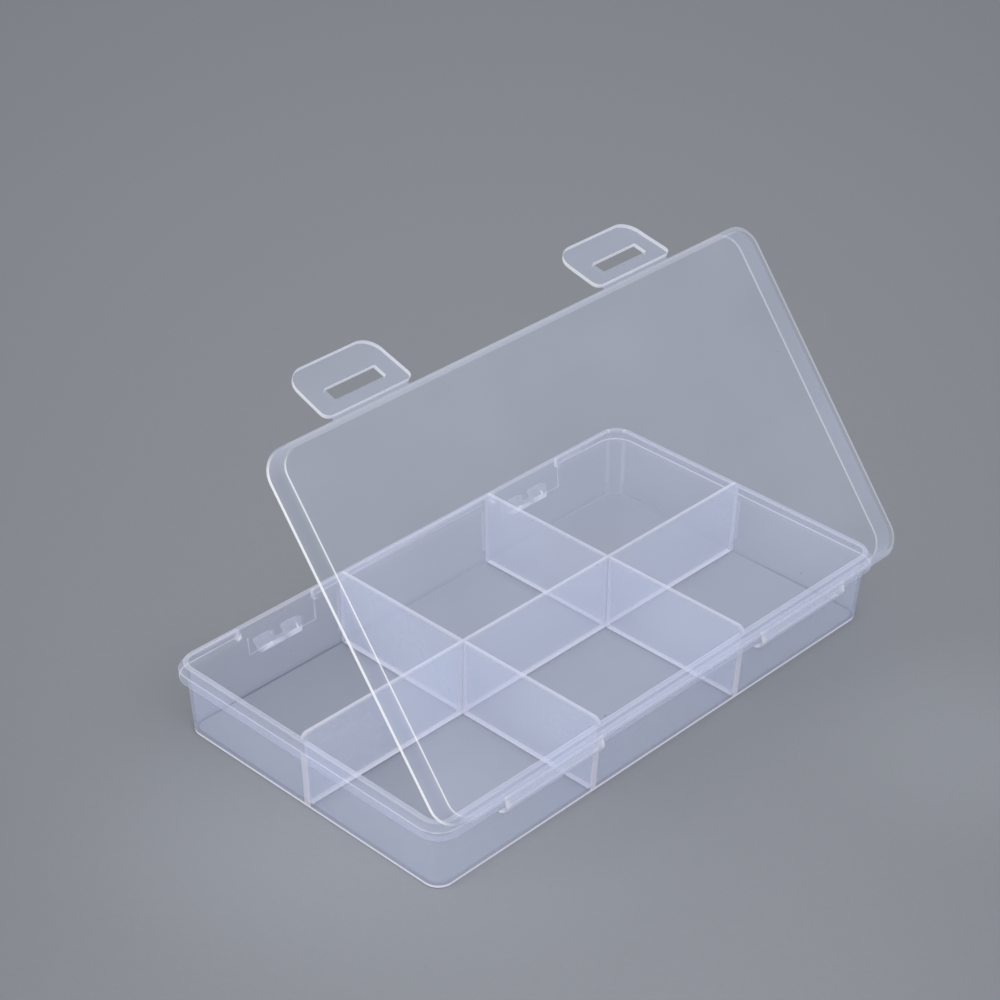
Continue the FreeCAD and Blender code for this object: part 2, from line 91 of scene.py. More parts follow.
def makeHazeGroup():
    look = hazeLook
    tree = bpy.data.node_groups.new("moulded haze", "ShaderNodeTree")
    wanted = (("Haze", "NodeSocketFloat", 0.1), ("Rim", "NodeSocketFloat", 0.0),
              ("Painted Light Haze", "NodeSocketFloat", 0.3), ("Gloss Loss", "NodeSocketFloat", 0.25),
              ("Milk", "NodeSocketColor", (0.8, 0.85, 0.95, 1)),
              ("Painted Light Tint", "NodeSocketColor", (0.95, 0.96, 1, 1)))
    for name, kind, value in wanted:
        tree.interface.new_socket(name=name, in_out="INPUT", socket_type=kind).default_value = value
    for name, kind in (("Color", "NodeSocketColor"), ("Alpha", "NodeSocketFloat"),
                       ("Roughness", "NodeSocketFloat"), ("Height", "NodeSocketFloat")):
        tree.interface.new_socket(name=name, in_out="OUTPUT", socket_type=kind)
    given = tree.nodes.new("NodeGroupInput").outputs
    place = addNode(tree, "ShaderNodeTexCoord").outputs["Object"]
    stretched = {"Vector": place, "Scale": look["streakStretch"]}
    along = addNode(tree, "ShaderNodeMapping", stretched).outputs[0]
    clouds = addNode(tree, "ShaderNodeTexNoise", {"Vector": place, "Scale": look["clouds"], "Detail": 2.0})
    streaks = addNode(tree, "ShaderNodeTexNoise", {"Vector": along, "Scale": look["streaks"], "Detail": 3.0})
    hairs = addNode(tree, "ShaderNodeTexNoise", {"Vector": along, "Scale": look["hairlines"], "Detail": 0.0})
    patches = addNode(tree, "ShaderNodeTexNoise", {"Vector": place, "Scale": look["patches"], "Detail": 0.0})
    # a hairline is the thin band where its noise crosses the middle, kept to a few patches
    crossing = sums(tree, "ABSOLUTE", sums(tree, "SUBTRACT", hairs.outputs[0], 0.5), 0.0)
    patch = spread(tree, patches.outputs[0], look["patchFrom"], look["patchFull"], 0.0, 1.0)
    hairline = sums(tree, "MULTIPLY", spread(tree, crossing, 0.0, look["hairWidth"], 1.0, 0.0), patch)
    dots = addNode(tree, "ShaderNodeTexVoronoi", {"Vector": place, "Scale": look["specks"]})
    chance = addNode(tree, "ShaderNodeSeparateColor", {0: dots.outputs["Color"]}).outputs[0]
    near = spread(tree, dots.outputs["Distance"], look["speckSize"] * 0.6, look["speckSize"], 1.0, 0.0)
    speck = sums(tree, "MULTIPLY", near, sums(tree, "GREATER_THAN", chance, look["speckChance"]))
    cloudy = spread(tree, clouds.outputs[0], *noiseSpan, *look["cloudRange"])
    streaky = spread(tree, streaks.outputs[0], *noiseSpan, *look["streakRange"])
    haze = sums(tree, "MULTIPLY", given["Haze"], sums(tree, "MULTIPLY", cloudy, streaky))
    # a rim above zero paints a highlight line, and a rim below zero marks a fillet that bends the light away,
    # painted dark as shade
    glow = sums(tree, "MULTIPLY", given["Rim"], look["glowGain"], clamp=True)
    dark = sums(tree, "MULTIPLY", given["Rim"], look["darkGain"], clamp=True)
    bright = sums(tree, "ABSOLUTE", given["Rim"], 0.0)
    haze = sums(tree, "ADD", haze, sums(tree, "MULTIPLY", bright, given["Painted Light Haze"]))
    haze = sums(tree, "ADD", haze, sums(tree, "MULTIPLY", hairline, look["hairHaze"]))
    haze = sums(tree, "ADD", haze, sums(tree, "MULTIPLY", speck, look["speckHaze"]), clamp=True)
    # painted highlights take the painted light tint, and painted shade takes the dark tone
    milk = mixColours(tree, glow, given["Milk"], given["Painted Light Tint"])
    milk = mixColours(tree, dark, milk, look["darkTone"])
    milk = mixColours(tree, speck, milk, look["speckTone"])
    uneven = spread(tree, streaks.outputs[0], *noiseSpan, *look["roughRange"])
    rough = sums(tree, "MULTIPLY", given["Gloss Loss"], uneven)
    rough = sums(tree, "ADD", rough, sums(tree, "MULTIPLY", hairline, look["hairRough"]), clamp=True)
    height = sums(tree, "MULTIPLY", streaks.outputs[0], look["relief"])
    ends = tree.nodes.new("NodeGroupOutput").inputs
    for name, value in (("Color", milk), ("Alpha", haze), ("Roughness", rough), ("Height", height)):
        tree.links.new(value, ends[name])
    return tree


hazeGroup = makeHazeGroup()

# what all the plastics share; footLevel and bumpDepth in metres
sharedLook = dict(footLevel=0.004, slantPower=2.5, shade=0.5, bump=0.25, bumpDepth=0.0004, refraction=1.49)


def makePlastic(name, look):
    shared = sharedLook
    material = bpy.data.materials.new(name)
    material.use_nodes = True
    tree = material.node_tree
    tree.nodes.clear()
    # the rim attribute holds each vertex's painted highlight or painted shade
    rim = addNode(tree, "ShaderNodeAttribute", attribute_name="rim").outputs["Fac"]
    if look.get("quietFoot"):
        # the foot's painted highlight line shows only from outside
        place = addNode(tree, "ShaderNodeTexCoord").outputs["Object"]
        level = addNode(tree, "ShaderNodeSeparateXYZ", {0: place}).outputs[2]
        behind = addNode(tree, "ShaderNodeNewGeometry").outputs["Backfacing"]
        hidden = sums(tree, "MULTIPLY", behind, sums(tree, "LESS_THAN", level, shared["footLevel"]))
        rim = sums(tree, "MULTIPLY", rim, spread(tree, hidden, 0.0, 1.0, 1.0, 0.0))
    group = addNode(tree, "ShaderNodeGroup", node_tree=hazeGroup)
    tree.links.new(rim, group.inputs["Rim"])
    for place, value in (("Haze", look["haze"]), ("Painted Light Haze", look["paintedLightHaze"]),
                         ("Gloss Loss", look["roughness"]), ("Milk", (*look["milk"], 1.0)),
                         ("Painted Light Tint", (*look["paintedLightTint"], 1.0))):
        group.inputs[place].default_value = value
    # the slanting way through a wall is longer, so it shows more haze
    facing = addNode(tree, "ShaderNodeLayerWeight", {"Blend": 0.5}).outputs["Facing"]
    grazing = sums(tree, "POWER", facing, shared["slantPower"])
    slant = spread(tree, grazing, 0.0, 1.0, 1.0, look["slant"])
    alpha = sums(tree, "MULTIPLY", group.outputs["Alpha"], slant, clamp=True)
    # haze scatters light forwards, so it casts a thin shadow
    casting = addNode(tree, "ShaderNodeLightPath").outputs["Is Shadow Ray"]
    thinned = spread(tree, casting, 0.0, 1.0, 1.0, look.get("shade", shared["shade"]))
    alpha = sums(tree, "MULTIPLY", alpha, thinned, clamp=True)
    bump = addNode(tree, "ShaderNodeBump", {
        "Height": group.outputs["Height"], "Strength": shared["bump"], "Distance": shared["bumpDepth"]})
    shader = addNode(tree, "ShaderNodeBsdfPrincipled", {
        "Base Color": group.outputs["Color"], "Roughness": group.outputs["Roughness"], "Alpha": alpha,
        "Normal": bump.outputs[0], "IOR": shared["refraction"], "Specular IOR Level": 0.5})
    output = addNode(tree, "ShaderNodeOutputMaterial", {"Surface": shader.outputs[0]})
    output.is_active_output = True
    return material


milkyBlue = (0.68, 0.75, 0.98)
# the next three colours tint painted highlight lines along edges
highlightBlue = (0.78, 0.83, 0.98)
highlightWhite = (0.95, 0.95, 1.0)
highlightPink = (0.89, 0.875, 0.985)
dividerMilk = (0.72, 0.775, 0.96)
# each plastic gives its painted highlight lines their own haze and tint
trayPlastic = makePlastic("clear tray plastic", dict(
    haze=0.115, paintedLightHaze=0.5, roughness=0.26, milk=milkyBlue, paintedLightTint=highlightPink, slant=4.0,
    quietFoot=True))
footPlastic = makePlastic("tray foot plastic", dict(
    haze=0.19, paintedLightHaze=0.5, roughness=0.26, milk=milkyBlue, paintedLightTint=highlightPink, slant=4.0, shade=5.0,
    quietFoot=True))
bandPlastic = makePlastic("clear band plastic", dict(
    haze=0.12, paintedLightHaze=0.5, roughness=0.24, milk=milkyBlue, paintedLightTint=highlightPink, slant=3.0))
floorPlastic = makePlastic("clear tray floor plastic", dict(
    haze=0.086, paintedLightHaze=0.2, roughness=0.26, milk=milkyBlue, paintedLightTint=highlightBlue, slant=2.0, quietFoot=True))
dividerPlastic = makePlastic("divider plastic", dict(
    haze=0.195, paintedLightHaze=0.45, roughness=0.3, milk=dividerMilk, paintedLightTint=highlightPink, slant=3.5))
lidPlastic = makePlastic("clear lid plastic", dict(
    haze=0.096, paintedLightHaze=0.75, roughness=0.2, milk=milkyBlue, paintedLightTint=(1.0, 0.98, 0.96), slant=3.5))
lidEndPlastic = makePlastic("clear lid end plastic", dict(
    haze=0.035, paintedLightHaze=0.5, roughness=0.2, milk=milkyBlue, paintedLightTint=(0.93, 0.87, 0.92), slant=3.0))
tabPlastic = makePlastic("latch tab plastic", dict(
    haze=0.104, paintedLightHaze=0.6, roughness=0.24, milk=milkyBlue, paintedLightTint=highlightWhite, slant=3.0))
strapPlastic = makePlastic("hinge strap plastic", dict(
    haze=0.17, paintedLightHaze=0.4, roughness=0.3, milk=milkyBlue, paintedLightTint=highlightWhite, slant=3.0))
catchPlastic = makePlastic("catch plastic", dict(
    haze=0.075, paintedLightHaze=0.5, roughness=0.16, milk=(0.8, 0.85, 1.0), paintedLightTint=highlightWhite, slant=4.0))
filmPlastic = makePlastic("latch film plastic", dict(
    haze=0.16, paintedLightHaze=0.2, roughness=0.22, milk=milkyBlue, paintedLightTint=highlightWhite, slant=2.0))
print("materials ready:", len(bpy.data.materials))


def roundEdges(bm, edges, radius, steps, clamp=True):
    return bmesh.ops.bevel(bm, geom=edges, offset=radius, offset_type="OFFSET", segments=steps, profile=0.5,
                           affect="EDGES", material=-1, clamp_overlap=clamp)["faces"]


def pull(bm, faces, move, keepStart=False):
    made = bmesh.ops.extrude_face_region(bm, geom=faces)["geom"]
    verts = [item for item in made if isinstance(item, bmesh.types.BMVert)]
    bmesh.ops.translate(bm, vec=move, verts=verts)
    inside = [f for f in faces if f.is_valid]
    if not keepStart and inside:
        bmesh.ops.delete(bm, geom=inside, context="FACES")
    return verts


def middleOf(edge):
    return (edge.verts[0].co + edge.verts[1].co) / 2


def rimLoop(bm, height):
    level = [e for e in bm.edges if all(abs(v.co.z - height) < 0.001 for v in e.verts)]
    return [e for e in level if len(e.link_faces) == 2 and e.calc_face_angle(0) > 0.3]


def uprightEdges(bm):
    return [e for e in bm.edges if abs(e.verts[0].co.z - e.verts[1].co.z) > 2.0]


def leaningBlock(bm, length, width, low, high, lean):
    verts = bmesh.ops.create_cube(bm, size=1.0)["verts"]
    bmesh.ops.scale(bm, vec=(length, width, high - low), verts=verts)
    bmesh.ops.translate(bm, vec=(0, 0, (low + high) / 2), verts=verts)
    grow = 2 * (high - low) * tan(radians(lean))
    upper = [v for v in verts if v.co.z > (low + high) / 2]
    bmesh.ops.scale(bm, vec=((length + grow) / length, (width + grow) / width, 1.0), verts=upper)


def finishPiece(name, bm, materials, paintedLightOf, place=None):
    bmesh.ops.remove_doubles(bm, verts=bm.verts[:], dist=0.0005)
    bmesh.ops.recalc_face_normals(bm, faces=bm.faces[:])
    # each vertex keeps its painted highlight or painted shade in the rim attribute
    rim = bm.verts.layers.float.new("rim")
    for v in bm.verts:
        v[rim] = paintedLightOf(v.co)
    if place:
        bmesh.ops.transform(bm, matrix=place, verts=bm.verts[:])
    bmesh.ops.scale(bm, vec=(0.001, 0.001, 0.001), verts=bm.verts[:])
    mesh = bpy.data.meshes.new(name)
    bm.to_mesh(mesh)
    bm.free()
    mesh.shade_smooth()
    for material in materials:
        mesh.materials.append(material)
    piece = bpy.data.objects.new(name, mesh)
    scene.collection.objects.link(piece)
    evening = piece.modifiers.new("even shading", "WEIGHTED_NORMAL")
    evening.keep_sharp = True
    return piece


# tray: leaning walls, rounded lip, and the band that the lid stands on
# the Glow and Shine amounts and lipMiddle are painted highlight, foldDark is painted shade and foldLight
# painted light
trayLook = dict(length=168.8, width=93.8, height=22.0, lean=2.8, corner=4.5, wall=0.9, floor=0.7,
                lipLength=172.6, lipWidth=97.6, lipCorner=6.0, lipRound=0.35,
                bandLow=17.4, bandHigh=20.2, bandLength=175.0, bandWidth=100.0, bandCorner=7.0, bandRound=0.4,
                gapMiddles=(-47.3, 50.1), gap=26.4, gapRound=1.1, footRound=0.35, footLine=0.7, footHaze=1.5,
                insideRound=0.5, ribs=28.5, ribWidth=2.1, ribGlow=0.45, farRibGlow=0.3, cornerGlow=0.25,
                lipGlow=0.28, lipMiddle=0.17, gapGlow=0.9, edgeGlow=0.42, farEdgeGlow=0.75, footGlow=1.6,
                foldDark=-0.55, foldLight=0.2, cornerShine=0.35, glintTurn=35.0, glintWide=4.0,
                gapReach=1.8, latchSide=-47.5, ribFade=0.2, footFade=0.35)


def wallFaces(bm):
    found = []
    for face in bm.faces:
        centre = face.calc_center_median()
        outward = face.normal.x * centre.x + face.normal.y * centre.y
        if abs(face.normal.z) < 0.3 and outward > 0 and 1.0 < centre.z < 22.0:
            found.append(face)
    return found


def outsideWall(spot, look):
    lean = spot.z * tan(radians(look["lean"]))
    pastX = abs(spot.x) - look["length"] / 2 - lean + look["corner"]
    pastY = abs(spot.y) - look["width"] / 2 - lean + look["corner"]
    if pastX > 0 and pastY > 0:
        return Vector((pastX, pastY)).length - look["corner"]
    return max(pastX, pastY) - look["corner"]


def cutFaces(bm, faces, point, direction):
    parts = dict.fromkeys(faces)
    for face in faces:
        parts.update(dict.fromkeys(face.edges))
        parts.update(dict.fromkeys(face.verts))
    bmesh.ops.bisect_plane(bm, geom=list(parts), dist=1e-5, plane_co=point, plane_no=direction)


def pushToOutline(verts, look, part):
    halfX = look[part + "Length"] / 2
    halfY = look[part + "Width"] / 2
    corner = look[part + "Corner"]
    for v in verts:
        signX = 1 if v.co.x > 0 else -1
        signY = 1 if v.co.y > 0 else -1
        grow = 2 * v.co.z * tan(radians(look["lean"]))
        fromX = abs(v.co.x) - ((look["length"] + grow) / 2 - look["corner"])
        fromY = abs(v.co.y) - ((look["width"] + grow) / 2 - look["corner"])
        if fromX > -0.01 and fromY > -0.01:
            way = Vector((max(fromX, 0.0), max(fromY, 0.0))).normalized()
            v.co.x = signX * (halfX - corner + corner * way.x)
            v.co.y = signY * (halfY - corner + corner * way.y)
        elif fromX > fromY:
            v.co.x = signX * halfX
        else:
            v.co.y = signY * halfY


def makeTray():
    look = trayLook
    bm = bmesh.new()
    leaningBlock(bm, look["length"], look["width"], 0.0, look["height"], look["lean"])
    roundEdges(bm, uprightEdges(bm), look["corner"], 9)
    roundEdges(bm, rimLoop(bm, 0.0), look["footRound"], 4)
    top = max(bm.faces, key=lambda f: f.calc_center_median().z)
    bmesh.ops.inset_region(bm, faces=[top], thickness=look["wall"], use_even_offset=True)
    low = pull(bm, [top], (0, 0, look["floor"] - look["height"]))
    shrink = 2 * (look["height"] - look["floor"]) * tan(radians(look["lean"]))
    spanX = max(v.co.x for v in low) * 2
    spanY = max(v.co.y for v in low) * 2
    bmesh.ops.scale(bm, vec=((spanX - shrink) / spanX, (spanY - shrink) / spanY, 1.0), verts=low)
    roundEdges(bm, rimLoop(bm, look["floor"]), look["insideRound"], 4)
    for level in (look["bandLow"], look["bandHigh"]):
        cutFaces(bm, wallFaces(bm), (0, 0, level), (0, 0, 1))
    ends = [middle + side * look["gap"] / 2 for middle in look["gapMiddles"] for side in (-1, 1)]

    def inBand(face):
        return look["bandLow"] < face.calc_center_median().z < look["bandHigh"]

    for end in ends:
        front = [f for f in wallFaces(bm) if inBand(f) and f.normal.y < -0.9]
        cutFaces(bm, front, (end, 0, 0), (1, 0, 0))

    def inGap(face):
        centre = face.calc_center_median()
        return face.normal.y < -0.9 and any(abs(centre.x - m) < look["gap"] / 2 for m in look["gapMiddles"])

    # the lip stands out a little over the whole rim, and the band stands out below it
    rim = [f for f in wallFaces(bm) if f.calc_center_median().z > look["bandHigh"]
           or inBand(f) and not inGap(f)]
    pushToOutline(pull(bm, rim, (0, 0, 0)), look, "lip")
    bm.normal_update()
    band = [f for f in wallFaces(bm) if inBand(f) and outsideWall(f.calc_center_median(), look) > 0.2
            and not inGap(f)]
    pushToOutline(pull(bm, band, (0, 0, 0)), look, "band")
    roundEdges(bm, rimLoop(bm, look["height"]), look["lipRound"], 3)
    halfY = look["bandWidth"] / 2
    corners = [e for e in uprightEdges(bm) if abs(middleOf(e).y + halfY) < 0.01
               and any(abs(middleOf(e).x - end) < 0.01 for end in ends)]
    roundEdges(bm, corners, look["gapRound"], 4)

    def bandEdge(edge):
        if len(edge.link_faces) != 2 or abs(edge.verts[0].co.z - edge.verts[1].co.z) > 0.01:
            return False
        level = middleOf(edge).z
        if min(abs(level - look["bandLow"]), abs(level - look["bandHigh"])) > 0.01:
            return False
        return outsideWall(middleOf(edge), look) > 1.3

    bmesh.ops.recalc_face_normals(bm, faces=bm.faces[:])
    flat = [e for e in bm.edges if bandEdge(e) and max(abs(f.normal.z) for f in e.link_faces) > 0.8
            and min(abs(f.normal.z) for f in e.link_faces) < 0.4]
    roundEdges(bm, flat, look["bandRound"], 3, clamp=False)
    # short faces beside each gap keep its painted glint small
    for middle in look["gapMiddles"]:
        for side in (-1, 1):
            front = [f for f in bm.faces if f.calc_center_median().y < look["latchSide"]
                     and look["bandLow"] - 0.01 < f.calc_center_median().z < look["bandHigh"] + 0.01]
            cutFaces(bm, front, (middle + side * (look["gap"] / 2 + look["gapReach"]), 0, 0), (1, 0, 0))

    # the foot line, and the ribs that show where a divider meets the wall, cut out for their painted
    # highlights
    def lowWall():
        return [f for f in wallFaces(bm) if f.calc_center_median().z < look["bandLow"]]

    for level in (look["footLine"], look["footLine"] + look["footFade"], look["footHaze"],
                  look["bandLow"] - look["ribFade"]):
        cutFaces(bm, lowWall(), (0, 0, level), (0, 0, 1))
    half = look["ribWidth"] / 2
    for edge in (-half - look["ribFade"], -half, half, half + look["ribFade"]):
        cutFaces(bm, [f for f in lowWall() if abs(f.normal.x) > 0.9], (0, edge, 0), (0, 1, 0))
        for middle in (-look["ribs"], look["ribs"]):
            cutFaces(bm, [f for f in lowWall() if abs(f.normal.y) > 0.9], (middle + edge, 0, 0), (1, 0, 0))

    def cornerShare(spot):
        # share of a painted glint line at the far corner, one line on each side of its middle
        lean = spot.z * tan(radians(look["lean"]))
        wayX = -spot.x - look["length"] / 2 - lean + look["corner"]
        wayY = -spot.y - look["width"] / 2 - lean + look["corner"]
        if wayX < 0.05 or wayY < 0.05:
            return 0.0
        turn = abs(Vector((wayX, wayY)).angle(Vector((1.0, 1.0))))
        return 1.0 if abs(turn - radians(look["glintTurn"])) < radians(look["glintWide"]) else 0.0

    bandMiddle = (look["bandLow"] + look["bandHigh"]) / 2
    bandHalf = (look["bandHigh"] - look["bandLow"]) / 2

    # painted highlights on the lip, band edges, gap ends, foot, ribs and far corner; painted shade and
    # painted light along the fold above the floor
    def paintedLightOf(spot):
        out = outsideWall(spot, look)
        if spot.z > look["height"] - 0.3:
            middle = spot.z > look["height"] - 0.01 and -0.05 < out < 0.05
            glow = look["lipMiddle" if middle else "lipGlow"]
            return glow + look["cornerShine"] * cornerShare(spot)
        if cornerShare(spot) and spot.z > 1.0 and out < 0.1:
            return look["cornerGlow"]
        if look["bandLow"] - 0.1 < spot.z < look["bandHigh"] + 0.1 and out > 0.3:
            if spot.y < -45 and out > 1.0 and any(abs(spot.x - end) < 1.2 for end in ends):
                return look["gapGlow"]
            near = spot.x > 86 or spot.y > 48
            glow = look["edgeGlow" if near else "farEdgeGlow"]
            onRound = bandHalf - 0.35 < abs(spot.z - bandMiddle) < bandHalf - 0.005
            return glow if out > 1.8 and onRound else 0.0
        if out > -0.4 and spot.z < look["footLine"] + 0.01:
            return look["footGlow"] if spot.z > 0.09 else 0.0
        if out > -0.1 and spot.z < look["bandLow"] - 0.1:
            atEnd = abs(spot.x) > look["length"] / 2 - 0.1
            along = abs(spot.y) if atEnd else abs(abs(spot.x) - look["ribs"])
            near = spot.x > 80 or spot.y > 40
            glow = look["ribGlow" if near else "farRibGlow"]
            return glow if along < half + 0.05 and spot.z > look["footLine"] + 0.1 else 0.0
        if look["floor"] + 0.03 < spot.z < look["floor"] + 0.35:
            if spot.y < -40 and spot.x > 0 or spot.x < -80 and spot.y > 0:
                return look["foldDark"]
            return look["foldLight"] if spot.x < -80 or spot.y < -40 else 0.0
        return 0.0

    for face in bm.faces:
        centre = face.calc_center_median()
        if abs(face.normal.z) > 0.95 and centre.z < 2.0:
            face.material_index = 1
        elif 16 < centre.z < 21 and outsideWall(centre, look) > 0.15:
            face.material_index = 2
        elif centre.z < look["footHaze"] and outsideWall(centre, look) > -0.2:
            face.material_index = 3
    piece = finishPiece("tray_moulding", bm, (trayPlastic, floorPlastic, bandPlastic, footPlastic), paintedLightOf)
    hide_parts("tray_shell")
    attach(piece, "tray")


makeTray()
print("tray made")

# dividers: tapered walls whose tops stand a little above the lip
dividerLook = dict(top=1.0, foot=1.8, low=0.72, high=24.0, endRound=1.8, edgeRound=0.32, spacing=57.0,
                   footGlow=0.6, topGlow=0.9, endGlow=0.45, overhang=1.1, overLip=22.06,
                   clear=0.02, innerLength=167.0, innerWidth=92.0, lean=2.8,
                   topShine=0.35, tipShine=0.3, endShine=0.2, joinShine=0.4, footShine=0.8)


def makeDivider(name, node, nearFoot, nearTop, farFoot, farTop, place, roundNear, overLip):
    look = dividerLook
    bm = bmesh.new()
    verts = bmesh.ops.create_cube(bm, size=2.0)["verts"]
    for v in verts:
        upper = v.co.z > 0
        v.co.y *= (look["top"] if upper else look["foot"]) / 2
        if v.co.x > 0:
            v.co.x = farTop if upper else farFoot
        else:
            v.co.x = nearTop if upper else nearFoot
        v.co.z = look["high"] if upper else look["low"]
    if overLip:
        # the top of a divider reaches out over the lip
        cutFaces(bm, bm.faces[:], (0, 0, look["overLip"]), (0, 0, 1))
        bm.normal_update()
        tips = [f for f in bm.faces if f.calc_center_median().z > look["overLip"] and f.normal.x > 0.9]
        pull(bm, tips, (look["overhang"], 0, 0))
        bmesh.ops.dissolve_limit(bm, angle_limit=0.005, verts=bm.verts[:], edges=bm.edges[:])
    bm.normal_update()
    ends = [e for e in rimLoop(bm, look["high"]) if abs(e.verts[0].co.x - e.verts[1].co.x) < 0.01
            and (roundNear or middleOf(e).x > (nearTop + farTop) / 2)]
    roundEdges(bm, ends, look["endRound"], 5)
    crest = [e for e in bm.edges if middleOf(e).z > look["high"] - look["endRound"] - 0.01
             and abs(e.verts[0].co.y - e.verts[1].co.y) < 0.05 and e.calc_length() > 0.05]
    roundEdges(bm, crest, look["edgeRound"], 3)
    # cuts that bound the painted highlight bands at the foot, the top and the ends
    for level in (look["low"] + look["footGlow"], look["high"] - look["topGlow"]):
        cutFaces(bm, bm.faces[:], (0, 0, level), (0, 0, 1))
    farLean = Vector((look["high"] - look["low"], 0, farFoot - farTop))
    nearLean = Vector((look["high"] - look["low"], 0, nearFoot - nearTop))
    cutFaces(bm, bm.faces[:], (farFoot - look["endGlow"], 0, look["low"]), farLean)
    cutFaces(bm, bm.faces[:], (nearFoot + look["endGlow"], 0, look["low"]), nearLean)

    def endShare(spot, foot, top):
        share = (spot.z - look["low"]) / (look["high"] - look["low"])
        return abs(spot.x - (foot + (top - foot) * share))

    # painted highlights on the top, the tip, the ends and the foot
    def paintedLightOf(spot):
        if spot.z > look["high"] - 0.35:
            return look["topShine"]
        if spot.x > farTop + 0.3:
            return look["tipShine"]
        if endShare(spot, farFoot, farTop) < 0.05:
            return look["endShine"]
        if endShare(spot, nearFoot, nearTop) < 0.05:
            return look["endShine" if roundNear else "joinShine"]
        return look["footShine"] if spot.z < look["low"] + 0.05 else 0.0

    piece = finishPiece(name, bm, (dividerPlastic,), paintedLightOf, place)
    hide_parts(node)
    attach(piece, "tray")


def makeDividers():
    look = dividerLook
    clear = look["clear"]

    def innerHalf(span, level):
        return span / 2 + level * tan(radians(look["lean"])) - clear

    footX = innerHalf(look["innerLength"], look["low"])
    topX = innerHalf(look["innerLength"], look["high"])
    makeDivider("long_divider_wall", "long_divider", -footX, -topX, footX, topX, None, True, True)
    footY = innerHalf(look["innerWidth"], look["low"])
    topY = innerHalf(look["innerWidth"], look["high"])
    for sideName, side in (("left", -1), ("right", 1)):
        for wayName, turn in (("front", -90), ("rear", 90)):
            place = Matrix.Translation((side * look["spacing"] / 2, 0, 0))
            place = place @ Matrix.Rotation(radians(turn), 4, "Z")
            makeDivider(f"{sideName}_{wayName}_divider_wall", f"{sideName}_{wayName}_divider",
                        look["foot"] / 2 + clear, look["top"] / 2 + clear, footY, topY, place, False,
                        wayName == "rear")


makeDividers()
print("dividers made")

# lid: plate and skirt, drawn shut from the hinge axis and swung open
lidLook = dict(length=175.0, width=100.0, depth=7.6, rise=0.2, reach=2.0, corner=7.0, edgeRound=1.5,
               skirt=1.1, plate=1.2, insideRound=0.9, freeRound=0.45, freeGlow=1.0, insideGlow=0.75,
               roundGlow=0.11, endLine=0.25, plateLine=0.35, openAngle=51.7, axisY=52.0, axisZ=20.1,
               freeFront=0.15, freeFar=0.2, freeNear=0.85, farFade=0.4)
lidPlace = (Matrix.Translation((0, lidLook["axisY"], lidLook["axisZ"]))
            @ Matrix.Rotation(radians(-lidLook["openAngle"]), 4, "X"))


def makeLid():
    look = lidLook
    bm = bmesh.new()
    top = look["rise"] + look["depth"]
    leaningBlock(bm, look["length"], look["width"], look["rise"], top, 0.0)
    roundEdges(bm, uprightEdges(bm), look["corner"], 10)
    roundEdges(bm, rimLoop(bm, top), look["edgeRound"], 6)
    plate = max(bm.faces, key=lambda f: f.calc_center_median().z)
    bmesh.ops.inset_region(bm, faces=[plate], thickness=look["plateLine"], use_even_offset=True)
    under = min(bm.faces, key=lambda f: f.calc_center_median().z)
    bmesh.ops.inset_region(bm, faces=[under], thickness=look["skirt"], use_even_offset=True)
    pull(bm, [under], (0, 0, look["depth"] - look["plate"]))
    inside = top - look["plate"]
    roundEdges(bm, rimLoop(bm, inside), look["insideRound"], 4)
    roundEdges(bm, rimLoop(bm, look["rise"]), look["freeRound"], 4)
    bmesh.ops.translate(bm, vec=(0, -look["reach"] - look["width"] / 2, 0), verts=bm.verts[:])

    # painted highlight lines on the free edge, the inside edge and the rounded top edge, fainter at the far
    # end
    def paintedLightOf(spot):
        fromX = look["length"] / 2 - abs(spot.x)
        fromY = look["width"] / 2 - abs(spot.y + look["reach"] + look["width"] / 2)
        corner = look["corner"]
        if fromX < corner and fromY < corner:
            endShare = Vector((corner - fromX, corner - fromY)).normalized().x ** 2
            depth = corner - Vector((corner - fromX, corner - fromY)).length
        else:
            endShare = 1.0 if fromX < fromY else 0.0
            depth = min(fromX, fromY)
        farEnd = spot.x < 0
        if spot.z < look["rise"] + 0.13:
            endGlow = look["freeFar" if farEnd else "freeNear"]
            return look["freeGlow"] * (look["freeFront"] + endGlow * endShare)
        if inside - 0.1 < spot.z < inside - 0.02 and depth > look["skirt"] - 0.05:
            return 0.0 if farEnd else look["insideGlow"] * endShare
        if farEnd and spot.z > top - 0.06 and 0.6 < depth < look["edgeRound"] + 0.05:
            return look["endLine"] * endShare + look["roundGlow"] * (1.0 - endShare)
        if farEnd:
            endShare *= look["farFade"]
        if spot.z > top - look["edgeRound"] - 0.01 and depth < look["edgeRound"] + 0.05:
            low = 1.0 if spot.z < top - 0.5 else 1.0 - endShare
            return look["roundGlow"] * (1.0 - endShare) * low
        return 0.0

    for face in bm.faces:
        if abs(face.normal.z) < 0.97 and face.calc_center_median().x < -look["length"] / 2 + 3.0:
            face.material_index = 1
    piece = finishPiece("lid_moulding", bm, (lidPlastic, lidEndPlastic), paintedLightOf, lidPlace)
    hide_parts("lid_shell")
    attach(piece, "lid")


makeLid()
print("lid made")

# latch tabs: rounded plates with a slot, a little curled at the free end
tabLook = dict(width=29.6, taper=0.035, root=0.32, end=16.8, low=-0.2, thick=1.2, corner=5.2, rootCorner=2.2,
               slotLength=17.2, slotNear=4.1, slotFar=8.4, slotCorner=0.35, edgeRound=0.24,
               curlFrom=9.5, curl=0.0115, curlCuts=(-10.5, -12.0, -13.5, -15.0, -16.0), dip=0.038,
               glow=0.95, slotGlow=0.12, axisY=-10.978, axisZ=100.9734)
latches = (("left", -47.3, 37.9), ("right", 50.1, 31.8))  # side, middle along the case, bend from the lid


def tabPlace(middle, bend):
    spin = Matrix.Rotation(radians(bend - lidLook["openAngle"]), 4, "X")
    return Matrix.Translation((middle, tabLook["axisY"], tabLook["axisZ"])) @ spin


